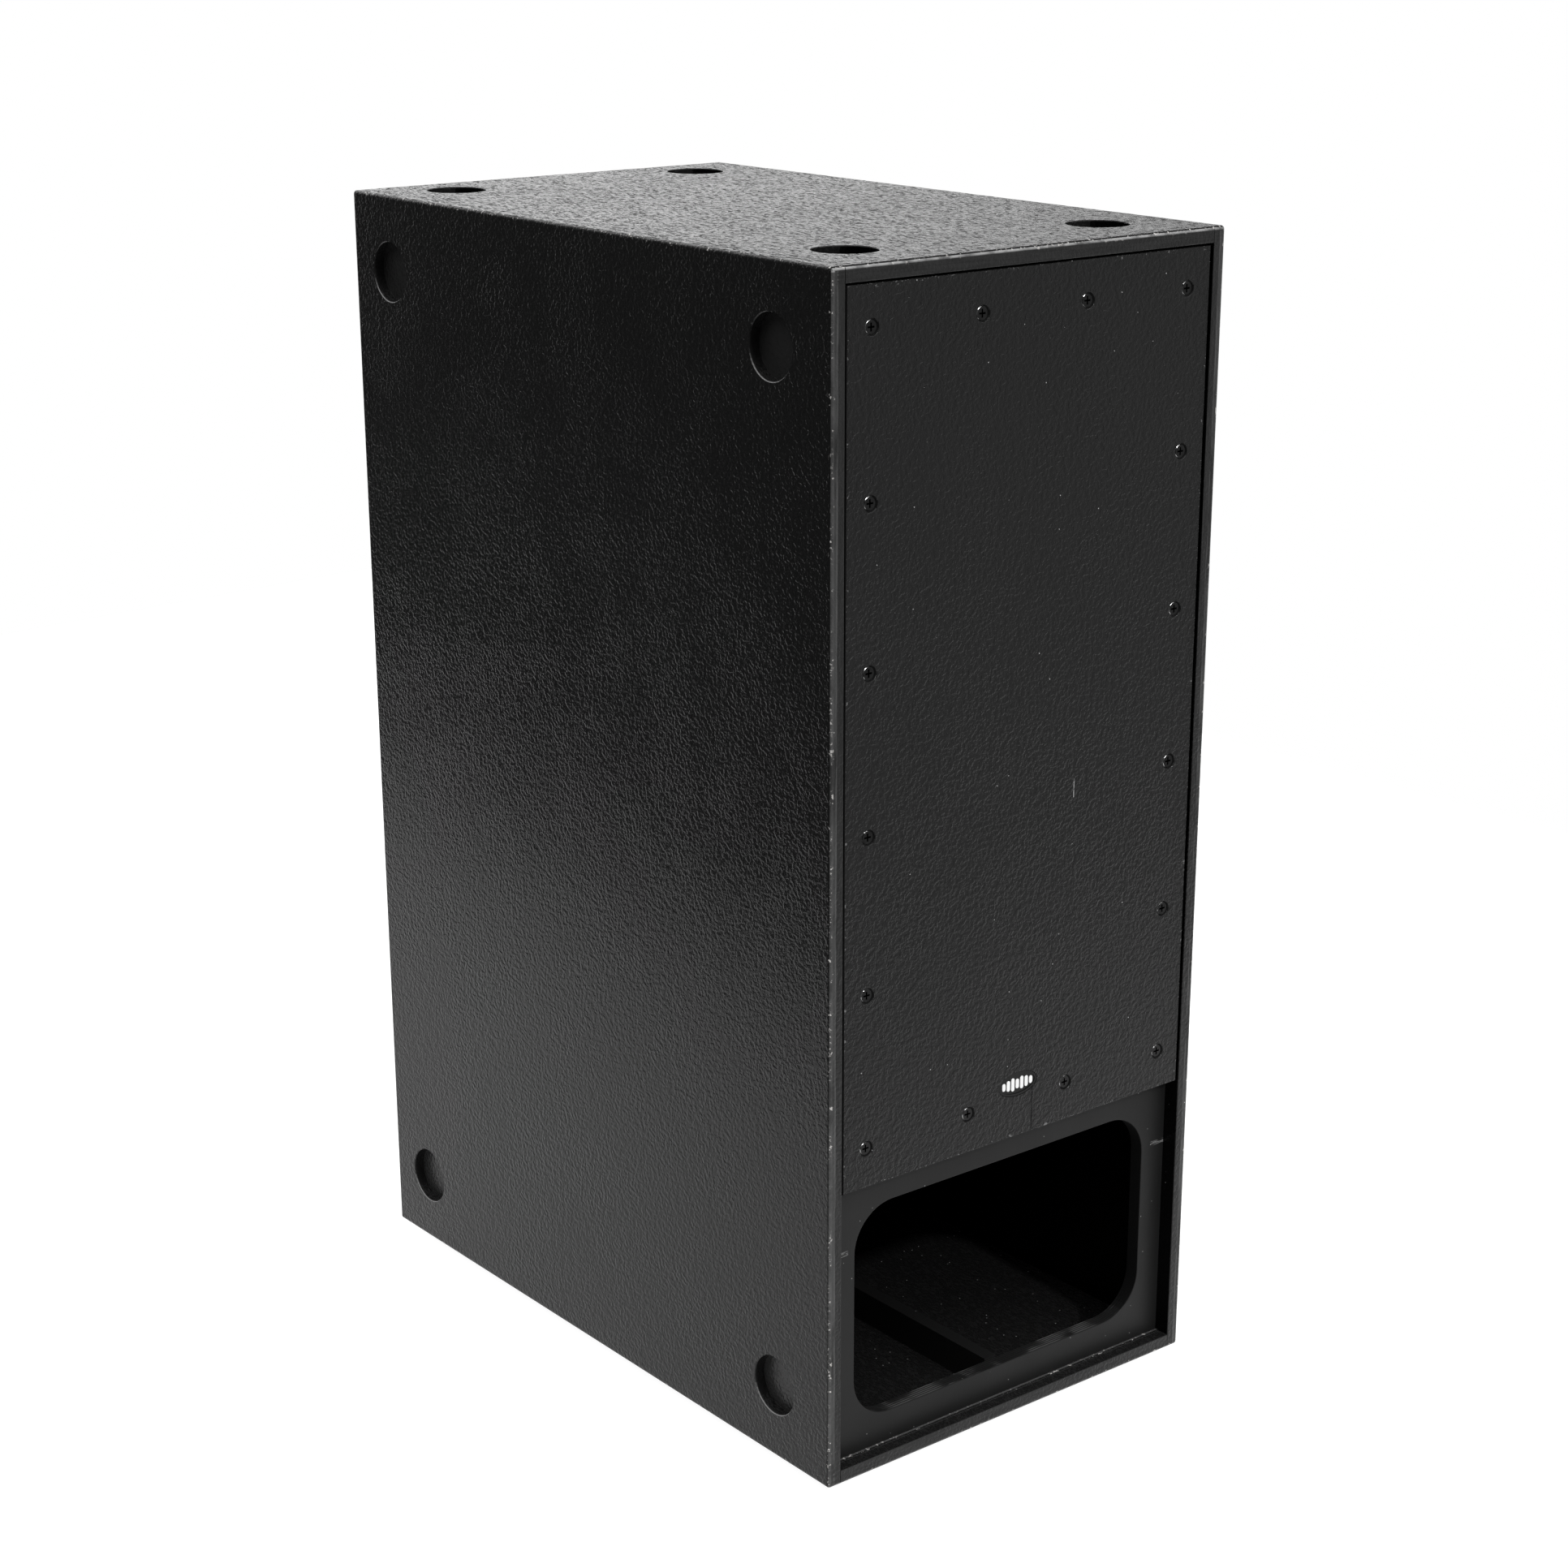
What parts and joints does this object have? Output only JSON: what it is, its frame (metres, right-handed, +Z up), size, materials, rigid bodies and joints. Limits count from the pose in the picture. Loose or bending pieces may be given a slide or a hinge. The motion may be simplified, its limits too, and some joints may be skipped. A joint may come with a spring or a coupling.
{
  "type": "pa speaker cabinet",
  "caption": "Tall black plywood folded-horn bass cabinet with a screwed front cover, a low rounded mouth, stacking cups and rubber feet.",
  "frame": {"origin": "under the middle of the whole object, on the surface that its bottom feet stand on", "axes": "+Z up, +Y from the front to the back, +X to the right side, where the side feet are"},
  "size_m": [0.484, 0.77, 1.164],
  "materials": {
    "textured_paint": "black water-based textured paint on birch plywood",
    "smooth_paint": "black paint, nearly smooth, on birch plywood",
    "inner_ply": "unpainted birch plywood",
    "gasket_foam": "closed-cell foam tape",
    "badge_metal": null,
    "dark_zinc": "dark zinc-plated steel",
    "bright_zinc": "bright zinc-plated steel",
    "cast_basket": "black powder-coated cast aluminium",
    "ferrite": "matt ferrite",
    "motor_steel": "turned steel",
    "coil_former": "wound former",
    "cone_paper": "doped paper",
    "cloth_suspension": "doped cloth",
    "black_plastic": "moulded plastic",
    "plate_black": "black powder coat",
    "foot_rubber": "moulded rubber",
    "lead_jacket": "flexible jacket"
  },
  "bodies": {
    "cabinet": {"badge": "badge_metal", "bottom_foot_back_left": "foot_rubber", "bottom_foot_back_right": "foot_rubber", "bottom_foot_front_left": "foot_rubber", "bottom_foot_front_right": "foot_rubber", "bottom_panel": "textured_paint", "chamber_brace": "inner_ply", "chamber_rear_wall": "smooth_paint", "chamber_top": "smooth_paint", "cover_gasket": "gasket_foam", "cover_panel": "textured_paint", "cover_screws": "dark_zinc", "cover_t_nuts": "bright_zinc", "driver_board": "smooth_paint", "driver_bolts": "dark_zinc", "driver_t_nuts": "bright_zinc", "duct_ceiling": "smooth_paint", "floor_rib": "smooth_paint", "foot_screws": "dark_zinc", "foot_washers": "bright_zinc", "front_board": "smooth_paint", "handle_screws": "dark_zinc", "input_plate": "plate_black", "input_plate_screws": "dark_zinc", "left_side_panel": "textured_paint", "lower_driver_back_plate": "motor_steel", "lower_driver_basket": "cast_basket", "lower_driver_lead": "lead_jacket", "lower_driver_magnet": "ferrite", "lower_driver_spider": "cloth_suspension", "lower_driver_surround": "cloth_suspension", "lower_driver_terminals": "black_plastic", "lower_driver_top_plate": "motor_steel", "lower_input_socket": "black_plastic", "lower_rear_handle": "black_plastic", "rear_bottom_deflector": "smooth_paint", "rear_panel": "textured_paint", "rear_top_deflector": "smooth_paint", "right_side_panel": "textured_paint", "side_foot_back_high": "foot_rubber", "side_foot_back_low": "foot_rubber", "side_foot_front_high": "foot_rubber", "side_foot_front_low": "foot_rubber", "top_panel": "textured_paint", "upper_driver_back_plate": "motor_steel", "upper_driver_basket": "cast_basket", "upper_driver_lead": "lead_jacket", "upper_driver_magnet": "ferrite", "upper_driver_spider": "cloth_suspension", "upper_driver_surround": "cloth_suspension", "upper_driver_terminals": "black_plastic", "upper_driver_top_plate": "motor_steel", "upper_input_socket": "black_plastic", "upper_rear_handle": "black_plastic"},
    "lower_cone": {"lower_driver_cone": "cone_paper", "lower_driver_voice_coil": "coil_former", "lower_driver_dust_cap": "cone_paper"},
    "upper_cone": {"upper_driver_cone": "cone_paper", "upper_driver_voice_coil": "coil_former", "upper_driver_dust_cap": "cone_paper"}
  },
  "joints": [
    {"name": "lower_cone_travel", "type": "slide", "parent": "cabinet", "child": "lower_cone", "axis": [0, 1, 0], "range_m": [-0.008, 0.008], "stiffness_N_per_m": 5000, "deforming": ["lower_driver_surround", "lower_driver_spider"]},
    {"name": "upper_cone_travel", "type": "slide", "parent": "cabinet", "child": "upper_cone", "axis": [0, 1, 0], "range_m": [-0.008, 0.008], "stiffness_N_per_m": 5000, "deforming": ["upper_driver_surround", "upper_driver_spider"]}
  ]
}
